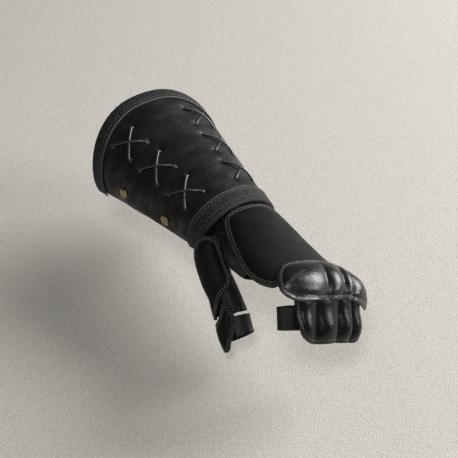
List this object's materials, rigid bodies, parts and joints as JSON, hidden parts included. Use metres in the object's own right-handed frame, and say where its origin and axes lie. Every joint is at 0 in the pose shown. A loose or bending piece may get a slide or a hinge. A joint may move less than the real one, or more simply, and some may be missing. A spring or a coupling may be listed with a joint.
{
  "type": "leather gauntlet",
  "caption": "Left-hand leather gauntlet: flared laced cuff, open half glove, and padded plates over the back, knuckles, fingers and thumb.",
  "frame": {"origin": "centre of the cuff's wrist edge, inside the wrist hollow", "axes": "+Y along the forearm from the wrist towards the cuff's mouth, +Z out of the back of the forearm, -X towards the thumb"},
  "size_m": [0.1378, 0.3206, 0.1283],
  "materials": {
    "armour_leather": "smooth black, waxed",
    "binding_leather": "rough black, flesh side out",
    "soft_leather": "soft black, matt",
    "lace_leather": "round thong, dark grey",
    "thread": "waxed grey thread",
    "brass": "dull",
    "black_steel": "black, satin"
  },
  "bodies": {
    "root": {"cuff": "armour_leather", "cuff_rim_binding": "binding_leather", "wrist_binding": "binding_leather", "lace_cross_thumb_1": "lace_leather", "lace_cross_thumb_2": "lace_leather", "lace_cross_thumb_3": "lace_leather", "lace_cross_little_1": "lace_leather", "lace_cross_little_2": "lace_leather", "lace_cross_little_3": "lace_leather", "rivet_1": "brass", "rivet_2": "brass", "rivet_3": "brass", "rivet_4": "brass", "under_strap_1": "armour_leather", "under_strap_2": "armour_leather", "buckle_1": "black_steel", "buckle_2": "black_steel", "glove": "soft_leather", "back_plate": "armour_leather", "knuckle_plate": "armour_leather", "finger_plate": "armour_leather", "thumb_plate": "armour_leather", "thumb_tip_plate": "armour_leather", "finger_loop": "soft_leather", "thumb_loop": "soft_leather"}
  },
  "joints": []
}
